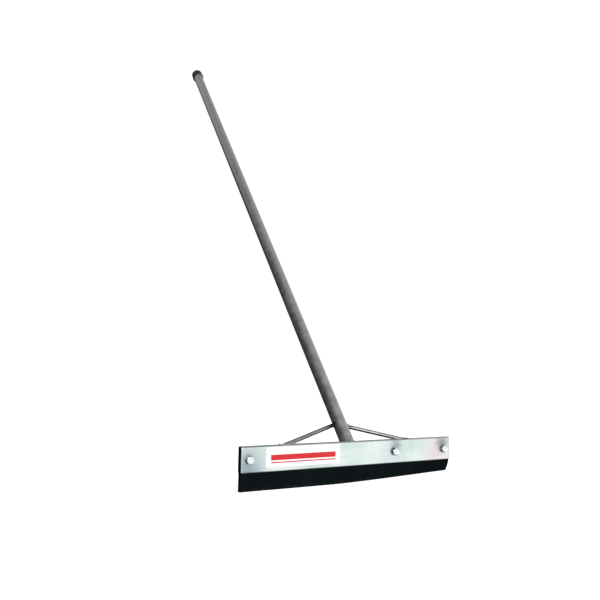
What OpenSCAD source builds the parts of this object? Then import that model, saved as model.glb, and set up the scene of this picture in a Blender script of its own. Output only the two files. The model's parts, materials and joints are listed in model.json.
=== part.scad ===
// Floor squeegee with a welded tube handle.
// A folded steel channel clamps a thick rubber blade with three through bolts. The handle tube is mitred
// and welded to the back of the channel, and two round stays brace it against the channel's top.
// The origin is the middle of the rubber's wiping edge. X runs along the head, the front of the head
// faces -Y, the handle leans back towards +Y, and Z is up from the floor.

/* [Head channel] */
// Length of the head
head_w = 600; // [450:10:900]
// Height of the folded channel
channel_h = 57; // [54:1:70]
// Thickness of the channel's sheet
sheet_t = 3; // [2:0.5:4]
// Outside radius of the two folds
fold_r = 4; // [4:0.5:6]

/* [Rubber blade] */
// Thickness of the rubber
rubber_t = 10; // [8:1:14]
// Height of rubber below the channel
blade_show = 41; // [25:1:60]
// Gap between the rubber's top and the folded top of the channel
blade_top_gap = 1; // [0.5:0.5:3]

/* [Clamp bolts] */
// Distance from the middle of the head to an outer bolt, as a share of the half length
outer_bolt_share = 0.93; // [0.85:0.01:0.94]
// Distance from the middle of the head to the inner bolt, as a share of the half length
inner_bolt_share = 0.4; // [0.25:0.01:0.5]
// Height of the bolts above the lower edge of the channel
bolt_up = 27; // [20:0.5:34]
// Diameter of a bolt's shank
bolt_d = 10; // [6:2:10]
// Length of a bolt under its head
bolt_len = 30; // [28:1:45]
// Radial clearance of the bolt holes
hole_clear = 0.5; // [0.25:0.25:1]

/* [Handle] */
// Outside diameter of the handle tube
tube_d = 35; // [25:0.1:36]
// Wall thickness of the handle tube
tube_wall = 2; // [1.5:0.5:3]
// Length of the handle tube along its axis, from the back of the channel
tube_len = 1865; // [1200:5:2000]
// Angle between the handle and the vertical
lean = 40; // [38:1:50]
// Length of the end cap
cap_len = 40; // [36:1:60]
// Thickness of the end cap's skirt
cap_wall = 4; // [2:0.5:4]

/* [Stays] */
// Diameter of a stay
stay_d = 10; // [8:1:12]
// Distance from the middle of the head to the left stay's foot
left_foot_x = 180; // [120:1:200]
// Distance from the middle of the head to the right stay's foot
right_foot_x = 141; // [120:1:200]
// Distance up the handle, from the level of the channel's top, to the left stay
left_stay_up = 50; // [38:1:90]
// Distance up the handle, from the level of the channel's top, to the right stay
right_stay_up = 43; // [38:1:90]

/* [Label] */
// Length of the label
label_w = 195; // [100:1:200]
// Height of the label
label_h = 44; // [20:1:44]
// Distance from the middle of the head to the label's nearer end
label_x = 44; // [40:1:60]

/* [Hidden] */
$fn = 96;

// The head, in side view
channel_t = rubber_t + 2 * sheet_t;
front_y = -channel_t / 2;
back_y = channel_t / 2;
top_z = blade_show + channel_h;
mid_z = blade_show + channel_h / 2;
bolt_z = blade_show + bolt_up;

// The handle's axis meets the back of the channel at half its height
up_y = sin(lean);
up_z = cos(lean);
top_level = (top_z - mid_z) / up_z;
tube_r = tube_d / 2;

// Bolt, washer and nut of a metric size
bolt_x = [-outer_bolt_share, inner_bolt_share, outer_bolt_share] * head_w / 2;
hex_flats = 1.7 * bolt_d;
head_h = 0.64 * bolt_d;
nut_h = 0.8 * bolt_d;
washer_d = 2 * bolt_d;
washer_t = 0.2 * bolt_d;
washer_hole_d = bolt_d + 0.4;
thread_pitch = 0.15 * bolt_d;
thread_depth = thread_pitch * 0.55;
thread_turns = 9;
nut_bore_d = bolt_d + 0.1;
hole_d = bolt_d + 2 * hole_clear;

// Welds
handle_bead = 4.5;
stay_bead = 2.5;
foot_bead = 3;
foot_weld_len = 44;

// End cap
crown_r = tube_r + cap_wall + 3;
cap_bore_depth = cap_len - crown_r + 5;
rim_bead_r = 0.8;
lead_in = 1.2;

label_t = 0.3;
far = 4000;

// Moves what is drawn along +Z onto the handle's axis, with z = 0 at the back of the channel
module on_handle() {
    translate([0, back_y, mid_z]) rotate([-lean, 0, 0]) children();
}

// A cylinder between two points, with its seam turned to the side
module bar(from, to, d) {
    v = to - from;
    len = norm(v);
    translate(from)
        rotate([0, acos(v[2] / len), atan2(v[1], v[0])])
            rotate(90) cylinder(d = d, h = len);
}

// Solid cylinder where the handle tube is, to trim what meets it
module handle_core(d = tube_d) {
    on_handle() translate([0, 0, -4 * tube_d]) cylinder(d = d, h = tube_len);
}

// What is drawn is repeated at each bolt, with z = 0 on the channel's front face and +Z to the back
module at_bolts() {
    for (x = bolt_x) translate([x, front_y, bolt_z]) rotate([-90, 0, 0]) children();
}

// Hexagonal prism with its corners turned off at one or both ends
module hexagon(flats, h, both_ends = false) {
    corner_r = flats / sqrt(3);
    turned_r = flats / 2 * 0.98;
    drop = (corner_r - turned_r) * tan(30);
    intersection() {
        rotate(30) cylinder(r = corner_r, h = h, $fn = 6);
        rotate_extrude()
            polygon([[0, 0], [both_ends ? turned_r : corner_r, 0], [corner_r, both_ends ? drop : 0],
                     [corner_r, h - drop], [turned_r, h], [0, h]]);
    }
}

// Sheet folded into a channel that is open downwards, with a bolt hole row through both webs
module channel_section() {
    inner_r = fold_r - sheet_t;
    difference() {
        union() {
            translate([front_y, blade_show]) square([channel_t, channel_h - fold_r]);
            translate([front_y + fold_r, blade_show]) square([channel_t - 2 * fold_r, channel_h]);
            for (s = [-1, 1]) translate([s * (channel_t / 2 - fold_r), top_z - fold_r]) circle(fold_r);
        }
        translate([-rubber_t / 2, blade_show - 1]) square([rubber_t, channel_h - sheet_t - inner_r + 1]);
        translate([-rubber_t / 2 + inner_r, blade_show]) square([rubber_t - 2 * inner_r, channel_h - sheet_t]);
    }
}

module head_channel() {
    color("gainsboro")
    difference() {
        translate([-head_w / 2, 0, 0]) rotate([90, 0, 90]) linear_extrude(head_w) channel_section();
        at_bolts() translate([0, 0, -1]) cylinder(d = hole_d, h = channel_t + 2);
    }
}

module rubber_blade() {
    color("black")
    difference() {
        translate([-head_w / 2, -rubber_t / 2, 0])
            cube([head_w, rubber_t, top_z - sheet_t - blade_top_gap]);
        at_bolts() cylinder(d = hole_d, h = channel_t);
    }
}

// Hexagon bolt with its thread cut as rings near the end
module bolt() {
    shank_r = bolt_d / 2;
    thread_end = bolt_len - thread_pitch;
    translate([0, 0, -head_h]) mirror([0, 0, 1]) translate([0, 0, -head_h]) hexagon(hex_flats, head_h);
    rotate_extrude()
        polygon(concat(
            [[0, -0.1], [shank_r, -0.1]],
            [for (i = [thread_turns:-1:1]) let (z = thread_end - i * thread_pitch)
                each [[shank_r, z], [shank_r - thread_depth, z + thread_pitch / 2]]],
            [[shank_r, thread_end], [shank_r - thread_depth, bolt_len], [0, bolt_len]]));
}

module clamp_bolts() {
    color("silver") at_bolts() bolt();
}

module rear_washers() {
    color("silver")
    at_bolts() translate([0, 0, channel_t]) difference() {
        cylinder(d = washer_d, h = washer_t);
        translate([0, 0, -1]) cylinder(d = washer_hole_d, h = washer_t + 2);
    }
}

module clamp_nuts() {
    color("silver")
    at_bolts() translate([0, 0, channel_t + washer_t]) difference() {
        hexagon(hex_flats, nut_h, both_ends = true);
        translate([0, 0, -1]) cylinder(d = nut_bore_d, h = nut_h + 2);
    }
}

// Round tube, mitred where it meets the back of the channel
module handle_tube() {
    color("gray")
    difference() {
        on_handle() difference() {
            translate([0, 0, -2 * tube_d]) cylinder(d = tube_d, h = tube_len + 2 * tube_d);
            translate([0, 0, -3 * tube_d]) cylinder(d = tube_d - 2 * tube_wall, h = tube_len + 4 * tube_d);
        }
        translate([-far / 2, back_y - far, -far / 2]) cube(far);
    }
}

// Slip-on cap: a skirt with a small bead at its rim and a domed crown
module cap_section() {
    skirt_r = tube_r + cap_wall;
    difference() {
        union() {
            intersection() {
                square([skirt_r, cap_len]);
                union() {
                    square([skirt_r, cap_len - crown_r]);
                    translate([0, cap_len - crown_r]) circle(crown_r);
                }
            }
            translate([skirt_r, 2 * rim_bead_r]) circle(rim_bead_r);
        }
        translate([0, -1]) square([tube_r, cap_bore_depth + 1]);
        polygon([[0, -1], [tube_r + lead_in, -0.01], [tube_r, lead_in], [0, lead_in]]);
        intersection() {
            square([tube_r - cap_wall, cap_len]);
            translate([0, cap_len - crown_r]) circle(crown_r - cap_wall);
        }
    }
}

module end_cap() {
    color("dimgray")
    on_handle() translate([0, 0, tube_len - cap_bore_depth])
        rotate_extrude() intersection() {
            translate([0, -far / 2]) square([far, far]);
            cap_section();
        }
}

// Stay on the left (side -1) or right (side 1), from the channel's top to the handle
function stay_reach(side) = top_level + (side < 0 ? left_stay_up : right_stay_up);
function stay_top(side) = [0, back_y + stay_reach(side) * up_y, mid_z + stay_reach(side) * up_z];
function stay_foot(side) = [side < 0 ? -left_foot_x : right_foot_x, back_y - stay_d / 2, top_z];

// Round bar along a stay's axis, long enough to be trimmed at both ends
module stay_bar(side, d) {
    run = stay_top(side) - stay_foot(side);
    bar(stay_foot(side) - 0.3 * run, stay_top(side), d);
}

module stay(side) {
    difference() {
        stay_bar(side, stay_d);
        translate([-far / 2, -far / 2, top_z - far]) cube(far);
        handle_core();
    }
}

module left_stay() {
    color("darkgray") stay(-1);
}

module right_stay() {
    color("darkgray") stay(1);
}

// Collar of weld around the mitred end of the handle
module handle_weld() {
    color("slategray")
    difference() {
        intersection() {
            handle_core(tube_d + 2 * handle_bead);
            translate([-tube_d, back_y, blade_show]) cube([2 * tube_d, handle_bead, channel_h]);
        }
        handle_core();
    }
}

// Collar of weld around a stay where it meets the handle
module stay_top_weld(side) {
    difference() {
        intersection() {
            stay_bar(side, stay_d + 2 * stay_bead);
            handle_core(tube_d + 2 * stay_bead);
        }
        handle_core();
        stay_bar(side, stay_d);
    }
}

module left_stay_top_weld() {
    color("slategray") stay_top_weld(-1);
}

module right_stay_top_weld() {
    color("slategray") stay_top_weld(1);
}

// Low bead of weld along both sides of a stay's foot, on the channel's top
module stay_foot_weld(side) {
    flat_w = channel_t - 2 * fold_r;
    difference() {
        intersection() {
            stay_bar(side, stay_d + 2 * foot_bead);
            translate([stay_foot(side)[0] - foot_weld_len / 2, -flat_w / 2, top_z])
                cube([foot_weld_len, flat_w, foot_bead]);
        }
        stay_bar(side, stay_d);
    }
}

module left_stay_foot_weld() {
    color("slategray") stay_foot_weld(-1);
}

module right_stay_foot_weld() {
    color("slategray") stay_foot_weld(1);
}

// Thin label stuck on the front
module front_label() {
    color("white")
    translate([-label_x - label_w, front_y - label_t, top_z - fold_r - label_h])
        cube([label_w, label_t, label_h]);
}

head_channel();
rubber_blade();
clamp_bolts();
rear_washers();
clamp_nuts();
handle_tube();
end_cap();
left_stay();
right_stay();
handle_weld();
left_stay_top_weld();
right_stay_top_weld();
left_stay_foot_weld();
right_stay_foot_weld();
front_label();
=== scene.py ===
"""Looks of the floor squeegee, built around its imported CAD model. Metres, in the CAD frame:
X along the head, the front of the head faces -Y, the handle leans back towards +Y, Z up from the floor."""
import json
import math
import random

import bmesh
import bpy
from mathutils import Matrix, Vector, noise


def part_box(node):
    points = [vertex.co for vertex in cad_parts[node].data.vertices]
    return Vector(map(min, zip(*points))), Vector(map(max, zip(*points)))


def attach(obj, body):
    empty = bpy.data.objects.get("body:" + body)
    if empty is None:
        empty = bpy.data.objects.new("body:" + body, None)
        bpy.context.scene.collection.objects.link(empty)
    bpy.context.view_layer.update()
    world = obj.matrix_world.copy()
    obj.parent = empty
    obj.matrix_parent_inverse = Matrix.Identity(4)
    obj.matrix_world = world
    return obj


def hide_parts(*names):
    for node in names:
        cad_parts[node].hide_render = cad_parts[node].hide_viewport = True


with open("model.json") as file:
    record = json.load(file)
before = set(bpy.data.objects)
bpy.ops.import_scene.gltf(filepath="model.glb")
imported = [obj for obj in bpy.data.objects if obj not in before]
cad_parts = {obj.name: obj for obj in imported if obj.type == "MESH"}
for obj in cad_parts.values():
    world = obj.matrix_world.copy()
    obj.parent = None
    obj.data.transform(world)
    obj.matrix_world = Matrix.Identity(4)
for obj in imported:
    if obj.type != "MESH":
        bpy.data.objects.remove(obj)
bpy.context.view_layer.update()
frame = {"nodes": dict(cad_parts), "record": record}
record = frame["record"]

# ---------------------------------------------------------------- sizes, from the frame
ROOT = "root"
CHANNEL_LOW, CHANNEL_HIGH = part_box("head_channel")
BLADE_LOW, BLADE_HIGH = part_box("rubber_blade")
LABEL_LOW, LABEL_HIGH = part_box("front_label")
HALF_W = CHANNEL_HIGH.x
FRONT_Y, BACK_Y = CHANNEL_LOW.y, CHANNEL_HIGH.y
LIP_Z, TOP_Z = CHANNEL_LOW.z, CHANNEL_HIGH.z
MID_Z = (LIP_Z + TOP_Z) / 2
SHEET_T = BLADE_LOW.y - FRONT_Y
FOLD_R = 0.004

GRIP = next(m for m in record["mounts"] if m["name"] == "handle_grip")
UP_TUBE = Vector(GRIP["axis"]).normalized()
TUBE_R = GRIP["dims"]["r_mm"] / 1000
TUBE_ROOT = Vector((0, BACK_Y, MID_Z))
SIDE_X = Vector((1, 0, 0))
ACROSS = UP_TUBE.cross(SIDE_X)
TUBE_WALL = 0.002
TUBE_LEN = 1.865
CAP_LEN = 0.040
CAP_WALL = 0.004
CROWN_R = TUBE_R + CAP_WALL + 0.003  # radius of the ball that the dome is part of
CROWN_AT = CAP_LEN - CROWN_R  # the ball's centre, from the cap's rim
CAP_DEPTH = CROWN_AT + 0.005  # how much of the tube the cap covers
CAP_RIM = TUBE_LEN - CAP_DEPTH

BOLT_R = 0.005
HEX_FLATS = 0.017
HEAD_H = 0.0064
BOLT_LEN = 0.030
BOLT_X = [share * HALF_W for share in (-0.93, 0.40, 0.93)]
BOLT_Z = LIP_Z + 0.027
HOLE_R = BOLT_R + 0.0005
THREAD_PITCH = 0.0015

STAY_R = 0.005
STAY_FOOT_X = {-1: -0.180, 1: 0.141}
STAY_UP = {-1: 0.050, 1: 0.043}


def smoothstep(low, high, x):
    t = min(1.0, max(0.0, (x - low) / (high - low)))
    return t * t * (3 - 2 * t)


def lerp(a, b, t):
    return a + (b - a) * t


# ---------------------------------------------------------------- camera, light and floor
def make_camera():
    """Low, to the left of the head, looking a little up, at the photograph's viewing angle."""
    azimuth, pitch, roll = math.radians(-29.47), math.radians(5.77), math.radians(1.15)
    ahead = Vector((-math.sin(azimuth) * math.cos(pitch), math.cos(azimuth) * math.cos(pitch),
                    math.sin(pitch)))
    right = Vector((math.cos(azimuth), math.sin(azimuth), 0))
    up = right.cross(ahead)
    right, up = (math.cos(roll) * right + math.sin(roll) * up,
                 math.cos(roll) * up - math.sin(roll) * right)
    eye = Vector((-0.894, -1.3055, 0.2787))
    data = bpy.data.cameras.new("camera")
    data.sensor_width = 36
    data.lens = 38.46
    camera = bpy.data.objects.new("camera", data)
    bpy.context.scene.collection.objects.link(camera)
    turn = Matrix((right, up, -ahead)).transposed()
    camera.matrix_world = Matrix.Translation(eye) @ turn.to_4x4()
    bpy.context.scene.camera = camera


def math_node(tree, operation, a, b=None, clamp=False):
    node = tree.nodes.new("ShaderNodeMath")
    node.operation = operation
    node.use_clamp = clamp
    for socket, value in zip(node.inputs, (a, b)):
        if value is None:
            continue
        if isinstance(value, (int, float)):
            socket.default_value = value
        else:
            tree.links.new(value, socket)
    return node.outputs[0]


def remap(tree, value, from_low, from_high, to_low=0.0, to_high=1.0, smooth=True):
    node = tree.nodes.new("ShaderNodeMapRange")
    node.interpolation_type = "SMOOTHSTEP" if smooth else "LINEAR"
    tree.links.new(value, node.inputs["Value"])
    for name, number in (("From Min", from_low), ("From Max", from_high),
                         ("To Min", to_low), ("To Max", to_high)):
        node.inputs[name].default_value = number
    return node.outputs["Result"]


def make_world():
    """White sweep behind the object; the room that lights it is bright to the right and dim to the left."""
    white = (1, 1, 1, 1)
    world = bpy.data.worlds.new("studio")
    bpy.context.scene.world = world
    world.use_nodes = True
    tree = world.node_tree
    tree.nodes.clear()
    place = tree.nodes.new("ShaderNodeTexCoord").outputs["Generated"]
    split = tree.nodes.new("ShaderNodeSeparateXYZ")
    tree.links.new(place, split.inputs[0])
    toward_right = math_node(tree, "ADD", math_node(tree, "MULTIPLY", split.outputs["X"], 0.75),
                             math_node(tree, "MULTIPLY", split.outputs["Y"], -0.66))
    side = remap(tree, toward_right, -0.75, 0.50, 0.05, 1.10)
    high = remap(tree, split.outputs["Z"], 0.20, 0.80, 1.0, 0.46)
    below = remap(tree, split.outputs["Z"], -0.55, -0.15, 0.35, 1.0)
    level = math_node(tree, "MULTIPLY", math_node(tree, "MULTIPLY", side, high), below)
    room = tree.nodes.new("ShaderNodeBackground")
    room.inputs["Color"].default_value = white
    tree.links.new(level, room.inputs["Strength"])
    sweep = tree.nodes.new("ShaderNodeBackground")
    sweep.inputs["Color"].default_value = white
    sweep.inputs["Strength"].default_value = 1.05
    mix = tree.nodes.new("ShaderNodeMixShader")
    path = tree.nodes.new("ShaderNodeLightPath")
    tree.links.new(path.outputs["Is Camera Ray"], mix.inputs[0])
    tree.links.new(room.outputs[0], mix.inputs[1])
    tree.links.new(sweep.outputs[0], mix.inputs[2])
    out = tree.nodes.new("ShaderNodeOutputWorld")
    tree.links.new(mix.outputs[0], out.inputs["Surface"])


def make_light(name, place, target, size, power):
    data = bpy.data.lights.new(name, "AREA")
    data.shape = "DISK"
    data.size = size
    data.energy = power
    light = bpy.data.objects.new(name, data)
    light.location = place
    light.rotation_euler = (Vector(target) - Vector(place)).to_track_quat("-Z", "Y").to_euler()
    light.visible_camera = False
    bpy.context.scene.collection.objects.link(light)


def make_floor():
    """Plain pale floor. It doesn't show in the metal, which mirrors only the room."""
    mesh = bpy.data.meshes.new("floor")
    reach = 40
    mesh.from_pydata([(-reach, -reach, 0), (reach, -reach, 0), (reach, reach, 0), (-reach, reach, 0)],
                     [], [(0, 1, 2, 3)])
    floor = bpy.data.objects.new("floor", mesh)
    bpy.context.scene.collection.objects.link(floor)
    material = bpy.data.materials.new("floor")
    material.use_nodes = True
    shader = material.node_tree.nodes["Principled BSDF"]
    shader.inputs["Base Color"].default_value = (0.9, 0.9, 0.9, 1)
    shader.inputs["Roughness"].default_value = 0.9
    shader.inputs["Specular IOR Level"].default_value = 0.1
    shader.inputs["Emission Color"].default_value = (1, 1, 1, 1)
    shader.inputs["Emission Strength"].default_value = 0.85
    mesh.materials.append(material)
    floor.visible_glossy = False
    floor.visible_diffuse = False


# ---------------------------------------------------------------- materials
class Look:
    """A procedural material on one Principled shader, with its usual building blocks."""

    def __init__(self, name):
        self.material = bpy.data.materials.new(name)
        self.material.use_nodes = True
        self.tree = self.material.node_tree
        self.shader = self.tree.nodes["Principled BSDF"]
        self.place = self.tree.nodes.new("ShaderNodeTexCoord").outputs["Object"]
        self.height = None

    def set(self, **values):
        for name, value in values.items():
            self.shader.inputs[name.replace("_", " ")].default_value = value

    def scaled(self, scale):
        node = self.tree.nodes.new("ShaderNodeMapping")
        node.inputs["Scale"].default_value = scale
        self.tree.links.new(self.place, node.inputs["Vector"])
        return node.outputs["Vector"]

    def noise(self, size, detail=3.0, roughness=0.55, stretch=(1, 1, 1), distortion=0.0):
        """Cloudy noise whose lumps are about size metres across."""
        node = self.tree.nodes.new("ShaderNodeTexNoise")
        node.inputs["Scale"].default_value = 1 / size
        node.inputs["Detail"].default_value = detail
        node.inputs["Roughness"].default_value = roughness
        node.inputs["Distortion"].default_value = distortion
        self.tree.links.new(self.scaled(stretch), node.inputs["Vector"])
        return node.outputs["Fac"]

    def cells(self, size, output="Distance"):
        """Irregular cells about size metres across: the distance to their middles, or a colour each."""
        node = self.tree.nodes.new("ShaderNodeTexVoronoi")
        node.inputs["Scale"].default_value = 1 / size
        self.tree.links.new(self.place, node.inputs["Vector"])
        return node.outputs[output]

    def grey(self, colour):
        node = self.tree.nodes.new("ShaderNodeSeparateColor")
        self.tree.links.new(colour, node.inputs[0])
        return node.outputs[0]

    def mix(self, factor, a, b):
        """Colour a where factor is 0 and b where it is 1."""
        node = self.tree.nodes.new("ShaderNodeMix")
        node.data_type = "RGBA"
        sockets = {s.identifier: s for s in node.inputs}
        for socket, value in ((sockets["Factor_Float"], factor), (sockets["A_Color"], a),
                              (sockets["B_Color"], b)):
            if isinstance(value, tuple):
                socket.default_value = (*value, 1)
            elif isinstance(value, (int, float)):
                socket.default_value = value
            else:
                self.tree.links.new(value, socket)
        return next(s for s in node.outputs if s.identifier == "Result_Color")

    def near(self, point, radius):
        """1 at a point, falling to 0 at the radius."""
        node = self.tree.nodes.new("ShaderNodeVectorMath")
        node.operation = "DISTANCE"
        self.tree.links.new(self.place, node.inputs[0])
        node.inputs[1].default_value = point
        return self.ramp(node.outputs["Value"], 0.0, radius, 1.0, 0.0)

    def split(self, vector):
        """The X, Y and Z parts of a vector."""
        node = self.tree.nodes.new("ShaderNodeSeparateXYZ")
        self.tree.links.new(vector, node.inputs[0])
        return node.outputs

    def facing(self, axis):
        """How far the surface faces along X, Y or Z, from -1 to 1."""
        return self.split(self.tree.nodes.new("ShaderNodeNewGeometry").outputs["Normal"])[axis]

    def ramp(self, value, *limits, smooth=True):
        """Turns a range of a value into 0 to 1, or into a second range: low, high, new low, new high."""
        return remap(self.tree, value, *limits, smooth=smooth)

    def colour(self, socket):
        self.tree.links.new(socket, self.shader.inputs["Base Color"])

    def rough(self, value, low, high):
        self.tree.links.new(self.ramp(value, 0.25, 0.75, low, high), self.shader.inputs["Roughness"])

    def bump(self, value, depth):
        """Adds a relief of that depth in metres; later calls stack on earlier ones."""
        node = self.tree.nodes.new("ShaderNodeBump")
        node.inputs["Strength"].default_value = 1.0
        node.inputs["Distance"].default_value = depth
        self.tree.links.new(value, node.inputs["Height"])
        if self.height is not None:
            self.tree.links.new(self.height, node.inputs["Normal"])
        self.height = node.outputs["Normal"]
        self.tree.links.new(self.height, self.shader.inputs["Normal"])

    def calc(self, operation, a, b=None, clamp=False):
        return math_node(self.tree, operation, a, b, clamp=clamp)


def stay_points(side):
    """Foot and top of a stay's axis. The top lies on the handle's axis."""
    top_level = (TOP_Z - MID_Z) / UP_TUBE.z
    foot = Vector((STAY_FOOT_X[side], BACK_Y - STAY_R, TOP_Z))
    return foot, TUBE_ROOT + UP_TUBE * (top_level + STAY_UP[side])


def left_tube_shadow(look, reach, strength):
    """1 in the painted shadow of the handle round the left stay's upper weld, falling to 0 at its reach."""
    _, joint = stay_points(-1)
    return look.calc("MULTIPLY", look.near(joint - SIDE_X * 0.012, reach), strength, clamp=True)


# Darker or tinted patches on the front of the channel: place, radius, strength and colour
FRONT_PATCHES = (
    (Vector((BOLT_X[1] + 0.004, FRONT_Y, BOLT_Z + 0.018)), 0.028, 0.85, (0.28, 0.33, 0.36)),
    (Vector((BOLT_X[2] - 0.006, FRONT_Y, BOLT_Z + 0.014)), 0.036, 0.85, (0.22, 0.26, 0.30)),
    (Vector((BOLT_X[0] - 0.004, FRONT_Y, LIP_Z + 0.008)), 0.055, 0.85, (0.26, 0.33, 0.38)),
    (Vector((BOLT_X[2] - 0.036, FRONT_Y, MID_Z - 0.012)), 0.042, 0.75, (0.80, 0.69, 0.70)),
)


def galvanised_look():
    """Pale zinc-coated sheet: soft cloudy patches of cool green, blue and a little pink, faint spangle."""
    look = Look("galvanised_sheet")
    cloud = look.noise(0.11, detail=2, roughness=0.5, stretch=(1, 1, 1.6))
    tint = look.noise(0.17, detail=1, roughness=0.4, stretch=(1, 1, 0.6), distortion=0.6)
    spangle = look.grey(look.cells(0.006, output="Color"))
    streak = look.noise(0.012, detail=4, stretch=(0.15, 1, 3.0))
    green = look.mix(look.ramp(cloud, 0.35, 0.68), (0.63, 0.75, 0.70), (0.82, 0.92, 0.88))
    warm = look.mix(look.ramp(tint, 0.52, 0.72, 0.0, 0.7), green, (0.87, 0.83, 0.82))
    cool = look.mix(look.ramp(tint, 0.46, 0.28, 0.0, 0.6), warm, (0.66, 0.72, 0.78))
    fine = look.mix(look.ramp(spangle, 0.0, 1.0, 0.0, 0.16, smooth=False), cool, (0.94, 0.95, 0.95))
    dull = look.mix(look.ramp(streak, 0.50, 0.80, 0.0, 0.18), fine, (0.46, 0.49, 0.50))
    place = look.split(look.place)
    # Painted shade: the sheet darkens towards its left end.
    dull = look.mix(look.ramp(place["X"], -0.20, -0.28, 0.0, 0.9), dull, (0.53, 0.61, 0.61))
    # Painted shade: faces turned upward, the top of the channel, are darkened.
    dull = look.mix(look.ramp(look.facing("Z"), 0.12, 0.60, 0.0, 0.75), dull, (0.36, 0.385, 0.395))
    # Painted shadow: a dark ring round each bolt head, set above and to its left.
    for x in BOLT_X:
        above_left = Vector((x - 0.0030, FRONT_Y, BOLT_Z + 0.0026))
        ring = look.calc("MULTIPLY", look.near(above_left, 0.0155), 1.4, clamp=True)
        dull = look.mix(ring, dull, (0.13, 0.15, 0.17))
    for point, radius, amount, patch_colour in FRONT_PATCHES:
        spot = look.calc("MULTIPLY", look.near(point, radius), amount)
        spot = look.calc("MULTIPLY", spot, look.ramp(streak, 0.25, 0.60, 0.55, 1.0))
        dull = look.mix(spot, dull, patch_colour)
    cut_end = look.ramp(look.calc("ABSOLUTE", place["X"]), HALF_W - 0.0022, HALF_W - 0.0004)
    look.colour(look.mix(cut_end, dull, (0.20, 0.21, 0.21)))
    look.rough(look.noise(0.03, detail=5), 0.26, 0.40)
    look.set(Metallic=0.92)
    look.bump(look.noise(0.09, detail=1, stretch=(1, 1, 0.8)), 0.0011)
    look.bump(spangle, 0.000006)
    look.bump(look.noise(0.0016, detail=3), 0.000012)
    return look.material


def tube_look():
    """Dull grey tube: mottled zinc, paler upward by painted light, a painted highlight band just under the
    cap, spatter by the right stay's weld.
    """
    look = Look("grey_tube")
    mottle = look.noise(0.020, detail=5, roughness=0.62)
    patches = look.noise(0.12, detail=2)
    speck = look.cells(0.0035)
    base = look.mix(look.ramp(mottle, 0.35, 0.66), (0.37, 0.385, 0.41), (0.50, 0.515, 0.53))
    warm = look.mix(look.ramp(patches, 0.35, 0.70, 0.0, 0.45), base, (0.48, 0.475, 0.48))
    place = look.split(look.place)
    # Painted light: the tube grows paler towards its upper end.
    rise = look.calc("ADD", look.calc("MULTIPLY", place["Y"], UP_TUBE.y),
                     look.calc("MULTIPLY", place["Z"], UP_TUBE.z))
    warm = look.mix(look.ramp(rise, 0.30, 1.60, 0.0, 0.38, smooth=False), warm, (0.72, 0.74, 0.77))
    # Painted highlight: a pale band round the tube from just below the cap's rim.
    rim = TUBE_ROOT.dot(UP_TUBE) + CAP_RIM
    band = look.ramp(rise, rim - 0.013, rim - 0.006, 0.0, 0.8)
    warm = look.mix(band, warm, (0.86, 0.88, 0.91))
    _, joint = stay_points(1)
    by_weld = look.near(joint + Vector((0.006, -0.012, -0.002)), 0.030)
    spots = look.calc("MULTIPLY", by_weld, look.ramp(speck, 0.42, 0.12))
    spatter = look.mix(look.calc("MULTIPLY", spots, 0.8), warm, (0.62, 0.62, 0.66))
    look.colour(spatter)
    look.rough(mottle, 0.32, 0.46)
    look.set(Metallic=0.90)
    look.bump(look.noise(0.006, detail=4, roughness=0.6), 0.00010)
    look.bump(spots, 0.0004)
    return look.material


def bar_look():
    """Round bar in zinc grey, with painted shade darkening its underside and the handle's painted shadow
    turning it black close to the handle's left weld.
    """
    look = Look("bar_steel")
    mottle = look.noise(0.010, detail=4, roughness=0.6)
    base = look.mix(look.ramp(mottle, 0.35, 0.68), (0.22, 0.232, 0.244), (0.32, 0.333, 0.345))
    # Painted shade: faces turned downward are darkened towards near black.
    under = look.ramp(look.facing("Z"), 0.15, -0.55, 0.0, 0.9)
    shaded = look.mix(under, base, (0.030, 0.031, 0.033))
    # Painted shadow of the handle: the bar turns black close to the handle's left weld.
    look.colour(look.mix(left_tube_shadow(look, 0.062, 1.7), shaded, (0.010, 0.010, 0.011)))
    look.rough(mottle, 0.30, 0.46)
    look.set(Metallic=0.85)
    look.bump(look.noise(0.003, detail=3), 0.00008)
    return look.material


def rubber_look():
    """Matt black rubber: fine grain, faint lengthwise press lines and grey dust at the wiping edge."""
    look = Look("black_rubber")
    place = look.split(look.place)
    dust = look.noise(0.014, detail=6, roughness=0.7)
    near_edge = look.ramp(place["Z"], 0.0, 0.012, 1.0, 0.0)
    dusty = look.calc("MULTIPLY", near_edge, look.ramp(dust, 0.45, 0.75, 0.0, 0.6))
    base = look.mix(look.ramp(look.noise(0.05, detail=3), 0.35, 0.7), (0.0018, 0.0042, 0.0052),
                    (0.0032, 0.0062, 0.0074))
    look.colour(look.mix(dusty, base, (0.035, 0.036, 0.036)))
    look.rough(look.noise(0.02, detail=4), 0.62, 0.80)
    look.set(Specular_IOR_Level=0.035)
    look.bump(look.noise(0.0009, detail=2), 0.00006)
    look.bump(look.noise(0.003, detail=2, stretch=(0.05, 1, 1)), 0.00010)
    return look.material


def plastic_look():
    """Black moulded plastic: fine spark-eroded grain and paler scuffs."""
    look = Look("black_plastic")
    scuff = look.noise(0.006, detail=6, roughness=0.75)
    base = look.mix(look.ramp(look.noise(0.012, detail=3), 0.3, 0.7), (0.012, 0.013, 0.015),
                    (0.026, 0.027, 0.030))
    look.colour(look.mix(look.ramp(scuff, 0.60, 0.78, 0.0, 0.5), base, (0.11, 0.11, 0.115)))
    look.rough(scuff, 0.36, 0.60)
    look.bump(look.noise(0.0007, detail=2), 0.00005)
    return look.material


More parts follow.
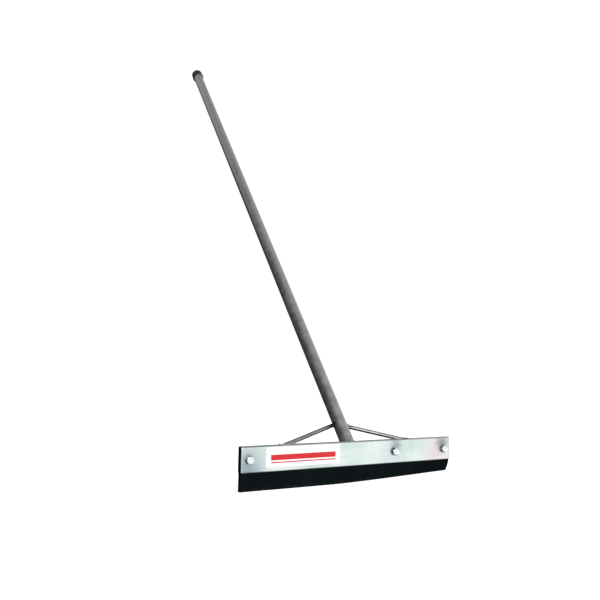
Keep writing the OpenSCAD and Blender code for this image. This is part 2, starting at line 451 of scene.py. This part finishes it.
def zinc_look():
    """Bright zinc plating with a faint bluish cast, and painted shade on the faces that run along the bolt.
    """
    look = Look("zinc_fastener")
    cloud = look.noise(0.004, detail=3)
    bright = look.mix(look.ramp(cloud, 0.3, 0.7), (0.78, 0.81, 0.84), (0.90, 0.91, 0.92))
    # Painted shade: faces running along the bolt's axis are darkened, giving the heads a dark crescent.
    flank_shade = look.ramp(look.calc("ABSOLUTE", look.facing("Y")), 0.75, 0.25, 0.0, 0.85)
    look.colour(look.mix(flank_shade, bright, (0.10, 0.11, 0.12)))
    look.rough(look.noise(0.002, detail=4), 0.16, 0.30)
    look.set(Metallic=1.0)
    look.bump(look.noise(0.0008, detail=3), 0.00002)
    return look.material


def weld_look():
    """Weld bead under grey zinc paint: duller and slightly lilac, darker in its ripples."""
    look = Look("weld")
    grain = look.noise(0.0022, detail=5, roughness=0.7)
    base = look.mix(look.ramp(grain, 0.3, 0.7), (0.22, 0.22, 0.245), (0.44, 0.44, 0.48))
    # Painted shadow of the handle: the bead darkens near the left stay's top.
    look.colour(look.mix(left_tube_shadow(look, 0.050, 1.6), base, (0.030, 0.030, 0.033)))
    look.rough(grain, 0.42, 0.66)
    look.set(Metallic=0.55)
    look.bump(look.noise(0.0012, detail=4), 0.00015)
    return look.material


def label_look():
    """White gloss vinyl with two plain red stripes, faint handling marks."""
    look = Look("label")
    place = look.split(look.place)
    marks = look.noise(0.02, detail=6, roughness=0.7)
    white = look.mix(look.ramp(marks, 0.55, 0.85, 0.0, 0.25), (0.94, 0.94, 0.94), (0.80, 0.80, 0.79))
    height = LABEL_HIGH.z - LABEL_LOW.z
    margin = 0.012
    stripe_shares = ((0.34, 0.62), (0.20, 0.26))  # of the label's height, from its lower edge
    inside_x = look.calc("MULTIPLY", look.calc("GREATER_THAN", place["X"], LABEL_LOW.x + margin),
                         look.calc("LESS_THAN", place["X"], LABEL_HIGH.x - margin))
    stripes = None
    for low, high in stripe_shares:
        band = look.calc("MULTIPLY",
                         look.calc("GREATER_THAN", place["Z"], LABEL_LOW.z + low * height),
                         look.calc("LESS_THAN", place["Z"], LABEL_LOW.z + high * height))
        stripes = band if stripes is None else look.calc("ADD", stripes, band)
    look.colour(look.mix(look.calc("MULTIPLY", stripes, inside_x), white, (0.62, 0.006, 0.010)))
    look.rough(marks, 0.22, 0.34)
    look.bump(look.noise(0.03, detail=2), 0.00006)
    return look.material


LOOKS = {
    "galvanised_sheet": galvanised_look(), "black_rubber": rubber_look(), "zinc_fastener": zinc_look(),
    "grey_tube": tube_look(), "black_plastic": plastic_look(), "bar_steel": bar_look(),
    "weld": weld_look(), "label": label_look(),
}


# ---------------------------------------------------------------- mesh helpers
def add_piece(name, verts, faces, slot, replaces, crease=40.0):
    """A closed mesh that rides on the object, smooth but for edges sharper than crease degrees."""
    mesh = bpy.data.meshes.new(name)
    mesh.from_pydata([tuple(v) for v in verts], [], faces)
    shape = bmesh.new()
    shape.from_mesh(mesh)
    bmesh.ops.remove_doubles(shape, verts=shape.verts, dist=1e-7)
    bmesh.ops.recalc_face_normals(shape, faces=shape.faces)
    shape.to_mesh(mesh)
    shape.free()
    mesh.shade_smooth()
    mesh.set_sharp_from_angle(angle=math.radians(crease))
    mesh.materials.append(LOOKS[slot])
    piece = bpy.data.objects.new(name, mesh)
    bpy.context.scene.collection.objects.link(piece)
    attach(piece, ROOT)
    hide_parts(*replaces)
    return piece


def loft(rings, close_ends=True, closed_path=False):
    """Quads between rings of equally many points, with flat ends or joined end to start."""
    n = len(rings[0])
    verts = [v for ring in rings for v in ring]
    faces = []
    spans = len(rings) if closed_path else len(rings) - 1
    for i in range(spans):
        a, b = i * n, ((i + 1) % len(rings)) * n
        for j in range(n):
            k = (j + 1) % n
            faces.append((a + j, a + k, b + k, b + j))
    if close_ends and not closed_path:
        faces.append(tuple(reversed(range(n))))
        faces.append(tuple(range(len(verts) - n, len(verts))))
    return verts, faces


def arc(centre, radius, start, end, steps):
    """Points of an arc in a (first, second) plane, angles in degrees."""
    return [(centre[0] + radius * math.cos(math.radians(lerp(start, end, i / steps))),
             centre[1] + radius * math.sin(math.radians(lerp(start, end, i / steps))))
            for i in range(steps + 1)]


# ---------------------------------------------------------------- head channel
def channel_middle():
    """The sheet's middle line in the (y, z) plane with its outward normals, from front lip to back lip."""
    middle_r = FOLD_R - SHEET_T / 2
    web_steps, top_steps, fold_steps = 22, 6, 8
    front, back = FRONT_Y + SHEET_T / 2, BACK_Y - SHEET_T / 2
    fold_z = TOP_Z - FOLD_R

    def fold(centre_y, start, end):
        turns = [math.radians(lerp(start, end, i / fold_steps)) for i in range(fold_steps + 1)]
        ways = [(math.cos(turn), math.sin(turn)) for turn in turns]
        return [((centre_y + middle_r * y, fold_z + middle_r * z), (y, z)) for y, z in ways]

    line = [((front, lerp(LIP_Z, fold_z, i / web_steps)), (-1, 0)) for i in range(web_steps)]
    line += fold(FRONT_Y + FOLD_R, 180, 90)
    line += [((lerp(FRONT_Y + FOLD_R, BACK_Y - FOLD_R, i / top_steps), TOP_Z - SHEET_T / 2), (0, 1))
             for i in range(1, top_steps)]
    line += fold(BACK_Y - FOLD_R, 90, 0)
    line += [((back, lerp(fold_z, LIP_Z, i / web_steps)), (1, 0)) for i in range(1, web_steps + 1)]
    return line


def squeeze(x, z):
    """How far a web is drawn in: a shallow dish round each bolt, and lips that ease out between bolts."""
    dish_depth, dish_r = 0.00045, 0.018
    slack_depth, slack_length = 0.0003, 0.19
    dish = sum(dish_depth * math.exp(-((x - b) ** 2 + (z - BOLT_Z) ** 2) / dish_r ** 2) for b in BOLT_X)
    low = max(0.0, (MID_Z - z) / (MID_Z - LIP_Z))
    slack = 0.5 - 0.5 * math.cos(2 * math.pi * (x + HALF_W) / slack_length)
    return dish - slack_depth * low * low * slack


def make_channel():
    """The folded sheet, with its cut edges broken, drawn in at the bolts and drilled for them."""
    edge, columns = 0.0005, 200
    line = channel_middle()
    rings = []
    stations = [-HALF_W, -HALF_W + edge]
    stations += [lerp(-HALF_W + edge, HALF_W - edge, i / columns) for i in range(1, columns)]
    stations += [HALF_W - edge, HALF_W]
    for x in stations:
        half_t = SHEET_T / 2 - (edge if abs(x) > HALF_W - edge / 2 else 0)
        outer, inner = [], []
        for (y, z), (ny, nz) in line:
            pull = squeeze(x, z) * abs(ny)
            y -= ny * pull
            outer.append(Vector((x, y + ny * half_t, z + nz * half_t)))
            inner.append(Vector((x, y - ny * half_t, z - nz * half_t)))
        for side, face in ((outer, inner), (inner, outer)):
            for end in (0, -1):
                toward = (face[end] - side[end]) * (edge / SHEET_T)
                side.insert(1 if end == 0 else len(side) - 1, side[end].copy())
                side[end] = side[end] + toward
            side[1].z += edge
            side[-2].z += edge
        rings.append(outer + inner[::-1])
    verts, faces = loft(rings, close_ends=False)
    n = len(rings[0])
    for base, flip in ((0, False), (len(verts) - n, True)):
        for j in range(n // 2 - 1):
            quad = (base + j, base + j + 1, base + n - 2 - j, base + n - 1 - j)
            faces.append(quad[::-1] if flip else quad)
    channel = add_piece("galvanised_channel", verts, faces, "galvanised_sheet", ["head_channel"], crease=50)
    drill(channel)


def drill(piece):
    """Bores the bolt holes through a piece along Y."""
    tool = bmesh.new()
    for x in BOLT_X:
        turn = Matrix.Translation((x, 0, BOLT_Z)) @ Matrix.Rotation(math.pi / 2, 4, "X")
        bmesh.ops.create_cone(tool, cap_ends=True, segments=32, radius1=HOLE_R, radius2=HOLE_R,
                              depth=0.1, matrix=turn)
    mesh = bpy.data.meshes.new("drill")
    tool.to_mesh(mesh)
    tool.free()
    cutter = bpy.data.objects.new("drill", mesh)
    bpy.context.scene.collection.objects.link(cutter)
    cut = piece.modifiers.new("holes", "BOOLEAN")
    cut.operation = "DIFFERENCE"
    cut.solver = "EXACT"
    cut.object = cutter
    bpy.context.view_layer.update()
    baked = bpy.data.meshes.new_from_object(piece.evaluated_get(bpy.context.evaluated_depsgraph_get()))
    piece.modifiers.clear()
    baked.name = piece.data.name
    piece.data = baked
    bpy.data.objects.remove(cutter)


# ---------------------------------------------------------------- rubber blade
def blade_bend(x, drop):
    """How far the rubber has bent back, and lifted, at x and at a share drop of its free height."""
    t = (x + HALF_W) / (2 * HALF_W)
    bend_from, most_back, most_lift, ripple_depth = 0.42, 0.0125, 0.0090, 0.0005
    ripple = ripple_depth * math.sin(2 * math.pi * 2.2 * t + 0.6)
    back = most_back * smoothstep(0.40, 1.0, t) + ripple
    lift = most_lift * max(0.0, (t - bend_from) / (1 - bend_from)) ** 1.15
    return back * drop ** 1.6, lift * drop


def make_blade():
    """The rubber strip: worn round along its lower corners, and bent where it stands out of the channel."""
    half = (BLADE_HIGH.y - BLADE_LOW.y) / 2
    worn, steps = 0.0012, 4
    free_rows, held_rows, columns = 16, 8, 160
    edge = 0.0007
    front = [(-half, lerp(worn, LIP_Z, i / free_rows)) for i in range(free_rows)]
    front += [(-half, lerp(LIP_Z, BLADE_HIGH.z, i / held_rows)) for i in range(held_rows + 1)]
    back = [(-y, z) for y, z in reversed(front)]
    foot = arc((half - worn, worn), worn, 0, -90, steps)[1:]
    foot += [(half / 3, 0), (-half / 3, 0)] + arc((-half + worn, worn), worn, -90, -180, steps)[:-1]
    section = front + back + foot
    rings = []
    stations = [(-HALF_W, edge), (-HALF_W + edge, 0)]
    stations += [(lerp(-HALF_W + edge, HALF_W - edge, i / columns), 0) for i in range(1, columns)]
    stations += [(HALF_W - edge, 0), (HALF_W, edge)]
    for x, inset in stations:
        ring = []
        for y, z in section:
            y = math.copysign(max(0.0, abs(y) - inset), y)
            z = min(BLADE_HIGH.z - inset, max(inset, z))
            drop = max(0.0, (LIP_Z - z) / LIP_Z)
            back_by, lift = blade_bend(x, drop)
            ring.append(Vector((x, y + back_by, z + lift)))
        rings.append(ring)
    verts, faces = loft(rings)
    blade = add_piece("rubber_strip", verts, faces, "black_rubber", ["rubber_blade"], crease=50)
    drill(blade)


# ---------------------------------------------------------------- handle, cap and stays
def tube_point(along, angle, radius):
    """A point round the handle's axis. Angle 0 is the +X side, 90 degrees the upper back."""
    return (TUBE_ROOT + UP_TUBE * along
            + (SIDE_X * math.cos(angle) + ACROSS * math.sin(angle)) * radius)


def mitre_start(angle, radius):
    """Distance along the handle where that line of the tube meets the back of the channel."""
    return -radius * math.sin(angle) * ACROSS.y / UP_TUBE.y


def make_tube():
    """Drawn tube with its lengthwise seam towards the back, mitred on the channel."""
    segments, rows = 96, 120
    angles = [2 * math.pi * i / segments for i in range(segments)]
    seam_angle, seam_height, seam_spread = math.radians(70), 0.00022, math.radians(3.2)
    rings = []
    for row in range(rows + 1):
        t = (row / rows) ** 1.6
        ring = []
        for a in angles:
            start = mitre_start(a, TUBE_R)
            along = lerp(start, TUBE_LEN, t)
            wobble = 0.00010 * noise.noise(Vector((math.cos(a), math.sin(a), along * 9)))
            off_seam = (a - seam_angle + math.pi) % (2 * math.pi) - math.pi
            seam = seam_height * math.exp(-(off_seam / seam_spread) ** 2)
            ring.append(tube_point(along, a, TUBE_R + wobble + seam))
        rings.append(ring)
    inner_r = TUBE_R - TUBE_WALL
    for t in (1.0, 0.0):
        rings.append([tube_point(lerp(mitre_start(a, inner_r), TUBE_LEN, t), a, inner_r) for a in angles])
    verts, faces = loft(rings, closed_path=True)
    add_piece("steel_tube", verts, faces, "grey_tube", ["handle_tube"], crease=35)


def make_cap():
    """Slip-on cap: bead at the rim, slightly tapered skirt, shallow groove and domed crown."""
    segments, bead = 96, 0.0008
    skirt_r, stop_r = TUBE_R + CAP_WALL, TUBE_R - CAP_WALL
    neck_r, groove_r = skirt_r - 0.0006, skirt_r - 0.0012
    shoulder = CROWN_AT + math.sqrt(CROWN_R ** 2 - skirt_r ** 2)
    profile = [(TUBE_R, 0.0012), (TUBE_R + 0.0012, 0.0)]
    profile += arc((skirt_r, 2 * bead), bead, -90, 90, 6)
    profile += [(skirt_r - 0.0001, 0.006), (skirt_r - 0.0004, 0.015), (neck_r, shoulder - 0.006),
                (groove_r, shoulder - 0.0052), (groove_r, shoulder - 0.0044),
                (neck_r, shoulder - 0.0036), (neck_r, shoulder)]
    profile += [(min(r, neck_r), z) for r, z in arc((0, CROWN_AT), CROWN_R, 30, 89, 20)]
    profile += [(0.0, CAP_LEN), (0.0, CAP_LEN - CAP_WALL)]
    profile += [(min(r, stop_r), z) for r, z in arc((0, CROWN_AT), CROWN_R - CAP_WALL, 88, 42, 8)]
    profile += [(stop_r, CAP_DEPTH), (TUBE_R, CAP_DEPTH)]
    angles = [2 * math.pi * i / segments for i in range(segments)]
    rings = [[tube_point(CAP_RIM + z, a, r) for a in angles] for r, z in profile]
    verts, faces = loft(rings, closed_path=True)
    add_piece("domed_cap", verts, faces, "black_plastic", ["end_cap"], crease=32)


def bar_line(side, angle, radius):
    """Start point and direction of one line of a stay's surface, at an angle round its axis."""
    foot, top = stay_points(side)
    way = (top - foot).normalized()
    e1 = way.cross(Vector((0, 0, 1))).normalized()
    e2 = e1.cross(way)
    return foot + (e1 * math.cos(angle) + e2 * math.sin(angle)) * radius, way


def at_channel(side, angle, radius):
    """Where a line of a stay's surface meets the top of the channel."""
    start, way = bar_line(side, angle, radius)
    return start + way * ((TOP_Z - start.z) / way.z)


def at_handle(side, angle, radius, handle_r):
    """Where a line of a stay's surface first meets a cylinder round the handle."""
    start, way = bar_line(side, angle, radius)
    rel = start - TUBE_ROOT
    across_way = way - UP_TUBE * way.dot(UP_TUBE)
    across_rel = rel - UP_TUBE * rel.dot(UP_TUBE)
    a = across_way.length_squared
    b = across_way.dot(across_rel)
    c = across_rel.length_squared - handle_r ** 2
    return start + way * ((-b - math.sqrt(b * b - a * c)) / a)


def make_stay(side, name, node):
    """Round bar, cut on a slant to sit on the channel and coped to the handle."""
    segments, rows = 40, 40
    bite, unevenness = 0.0004, 0.00006
    rings = []
    for row in range(rows + 1):
        ring = []
        for i in range(segments):
            a = 2 * math.pi * i / segments
            low, high = at_channel(side, a, STAY_R), at_handle(side, a, STAY_R, TUBE_R - bite)
            p = low.lerp(high, row / rows)
            shake = unevenness * noise.noise(p * 120)
            ring.append(p + Vector((0, -shake, shake)))
        rings.append(ring)
    verts, faces = loft(rings)
    add_piece(name, verts, faces, "bar_steel", [node], crease=40)


# ---------------------------------------------------------------- welds
def make_bead(name, node, points, outward, radius, ripple, closed):
    """A bead along points: each ring leans back along the path, in steps, as laid weld does."""
    segments, lag = 14, ripple * 0.55
    rings = []
    count = len(points)
    travelled = 0.0
    for i, p in enumerate(points):
        after = points[(i + 1) % count] if closed or i + 1 < count else p
        before = points[i - 1] if closed or i else p
        way = (after - before).normalized()
        travelled += (p - points[i - 1]).length if i else 0.0
        phase = (travelled / ripple) % 1.0
        swell = 1.0 + 0.16 * (1 - phase) ** 2 + 0.10 * noise.noise(p * 260)
        taper = 1.0 if closed else min(1.0, 0.25 + 6 * min(i, count - 1 - i) / count)
        out = (outward[i] - way * outward[i].dot(way)).normalized()
        side = way.cross(out)
        r = radius * swell * taper
        rings.append([p + out * (r * math.cos(a)) + side * (r * math.sin(a))
                      - way * (lag * max(0.0, math.cos(a)) ** 2)
                      for a in (2 * math.pi * j / segments for j in range(segments))])
    verts, faces = loft(rings, closed_path=closed)
    add_piece(name, verts, faces, "weld", [node], crease=70)


def make_handle_weld():
    """The bead all round the handle's mitred end, its middle line just off the sheet."""
    count, off_sheet = 220, Vector((0, 0.0004, 0))
    points, outward = [], []
    for i in range(count):
        a = 2 * math.pi * i / count
        p = tube_point(mitre_start(a, TUBE_R), a, TUBE_R)
        radial = SIDE_X * math.cos(a) + ACROSS * math.sin(a)
        points.append(p + off_sheet)
        outward.append((radial + Vector((0, 1, 0))).normalized())
    make_bead("handle_bead", "handle_weld", points, outward, radius=0.0034, ripple=0.0021, closed=True)


def make_stay_top_weld(side, name, node):
    """The bead round a stay where it meets the handle, its middle line just off the tube."""
    count, off_tube = 96, 0.0003
    points, outward = [], []
    _, way = bar_line(side, 0, 0)
    centre = at_handle(side, 0, 0, TUBE_R)
    for i in range(count):
        a = 2 * math.pi * i / count
        p = at_handle(side, a, STAY_R, TUBE_R)
        radial = p - centre
        radial -= way * radial.dot(way)
        points.append(p - way * off_tube)
        outward.append((radial.normalized() - way).normalized())
    make_bead(name, node, points, outward, radius=0.0025, ripple=0.0018, closed=True)


def make_stay_foot_weld(side, name, node):
    """One bead along the front of the foot, round its toe and back as far as the channel's edge."""
    count = 150
    first_angle, last_angle = -0.62 * math.pi, 0.72 * math.pi
    near_front, near_back = FRONT_Y + 0.002, BACK_Y - 0.001
    points, outward = [], []
    foot, _ = stay_points(side)
    for i in range(count):
        a = lerp(first_angle, last_angle, i / (count - 1)) * -side
        p = at_channel(side, a, STAY_R)
        if not near_front < p.y < near_back:
            continue
        flat = Vector((p.x - foot.x, p.y - foot.y, 0)).normalized()
        points.append(p)
        outward.append((flat + Vector((0, 0, 1))).normalized())
    make_bead(name, node, points, outward, radius=0.0024, ripple=0.0020, closed=False)


# ---------------------------------------------------------------- fasteners
BOLT_SEGMENTS = 72


def round_ring(radius, turn, height):
    """A circle round a bolt's axis as (radius, angle, height) points."""
    return [(radius, 2 * math.pi * i / BOLT_SEGMENTS + turn, height) for i in range(BOLT_SEGMENTS)]


def hexagon_ring(limit, turn, height):
    """The same kind of points for a hexagon with softened corners, nowhere farther out than limit."""
    flats, sixth, softened_by = HEX_FLATS / 2, math.pi / 3, 0.00025
    corner_r = flats / math.cos(sixth / 2) - softened_by
    ring = []
    for i in range(BOLT_SEGMENTS):
        a = 2 * math.pi * i / BOLT_SEGMENTS
        hexagon_r = flats / math.cos((a + sixth / 2) % sixth - sixth / 2)
        ring.append((min(hexagon_r, corner_r, limit), a + turn, height))
    return ring


def head_rings(turn):
    """A bolt's head from the dish in its face, over the chamfer and down to the washer face."""
    flats = HEX_FLATS / 2
    dish = [(0.0010, 0.00035), (0.0054, 0.00035), (0.0060, 0.0)]
    chamfer = [(flats - 0.0007, 0.0), (flats - 0.0001, 0.00025), (flats + 0.00045, 0.0007)]
    rings = [round_ring(r, turn, HEAD_H - depth) for r, depth in dish]
    rings += [hexagon_ring(limit, turn, HEAD_H - depth) for limit, depth in chamfer]
    return rings + [hexagon_ring(HEX_FLATS, turn, height) for height in (HEAD_H - 0.0011, 0.0)]


def shank_rings(turn):
    """A bolt's shank, plain and then threaded, to its chamfered end. Its heights are negative."""
    threads, chamfer_len = 9, 0.6 * THREAD_PITCH
    thread_end = BOLT_LEN - chamfer_len
    flank_r, root_r = BOLT_R - 0.00012, BOLT_R - 0.0007
    line = [(BOLT_R, 0.0)]
    for still_to_come in range(threads, 0, -1):
        z = thread_end - still_to_come * THREAD_PITCH
        line += [(BOLT_R, z), (flank_r, z + 0.15 * THREAD_PITCH), (root_r, z + 0.5 * THREAD_PITCH),
                 (flank_r, z + 0.85 * THREAD_PITCH)]
    line += [(BOLT_R, thread_end), (BOLT_R - 0.0008, BOLT_LEN)]
    return [round_ring(r, turn, -along) for r, along in line]


def make_bolts():
    """Hexagon bolts: chamfered heads, each turned as tightening left it, and threaded ends at the back."""
    verts, faces = [], []
    turns = random.Random(7)
    for x in BOLT_X:
        turn = turns.uniform(0, math.pi / 3)
        rings = [[Vector((x + r * math.cos(a), FRONT_Y - height, BOLT_Z + r * math.sin(a)))
                  for r, a, height in ring] for ring in head_rings(turn) + shank_rings(turn)]
        more_verts, more_faces = loft(rings)
        base = len(verts)
        verts += more_verts
        faces += [tuple(base + i for i in face) for face in more_faces]
    add_piece("hexagon_bolts", verts, faces, "zinc_fastener", ["clamp_bolts"], crease=28)


# ---------------------------------------------------------------- label
def make_label():
    """Thin vinyl with rounded corners, following the channel's face."""
    thick, corner = 0.0003, 0.0025
    columns, rows = 130, 30
    low, high = LABEL_LOW, LABEL_HIGH
    verts, faces = [], []
    for j in range(rows + 1):
        for i in range(columns + 1):
            x, z = lerp(low.x, high.x, i / columns), lerp(low.z, high.z, j / rows)
            dx = max(low.x + corner - x, x - (high.x - corner), 0)
            dz = max(low.z + corner - z, z - (high.z - corner), 0)
            over = math.hypot(dx, dz)
            if over > corner:
                x -= math.copysign(dx * (1 - corner / over), x - (low.x + high.x) / 2)
                z -= math.copysign(dz * (1 - corner / over), z - (low.z + high.z) / 2)
            y = FRONT_Y + squeeze(x, z)
            verts += [Vector((x, y - thick, z)), Vector((x, y, z))]

    def at(i, j):
        return 2 * (j * (columns + 1) + i)

    for j in range(rows):
        for i in range(columns):
            ids = (at(i, j), at(i + 1, j), at(i + 1, j + 1), at(i, j + 1))
            faces += [ids, tuple(k + 1 for k in reversed(ids))]
    rim = [at(i, 0) for i in range(columns)] + [at(columns, j) for j in range(rows)]
    rim += [at(i, rows) for i in range(columns, 0, -1)] + [at(0, j) for j in range(rows, 0, -1)]
    for a, b in zip(rim, rim[1:] + rim[:1]):
        faces.append((b, a, a + 1, b + 1))
    add_piece("vinyl_label", verts, faces, "label", ["front_label"], crease=40)


# ---------------------------------------------------------------- build
make_camera()
make_world()
make_light("front", (-0.5, -2.4, 0.8), target=(0.0, 0.0, 0.1), size=1.0, power=38)
make_light("high_left", (-0.96, 2.15, 2.7), target=(0.0, 1.1, 1.35), size=2.2, power=4.8)
make_floor()
bpy.context.scene.view_settings.view_transform = "Standard"

make_channel()
make_blade()
make_tube()
make_cap()
for side, word in ((-1, "left"), (1, "right")):
    make_stay(side, word + "_round_stay", word + "_stay")
    make_stay_top_weld(side, word + "_top_bead", word + "_stay_top_weld")
    make_stay_foot_weld(side, word + "_foot_bead", word + "_stay_foot_weld")
make_handle_weld()
make_bolts()
make_label()
for node in ("rear_washers", "clamp_nuts"):
    carried = frame["nodes"][node]
    carried.data.materials.clear()
    carried.data.materials.append(LOOKS["zinc_fastener"])
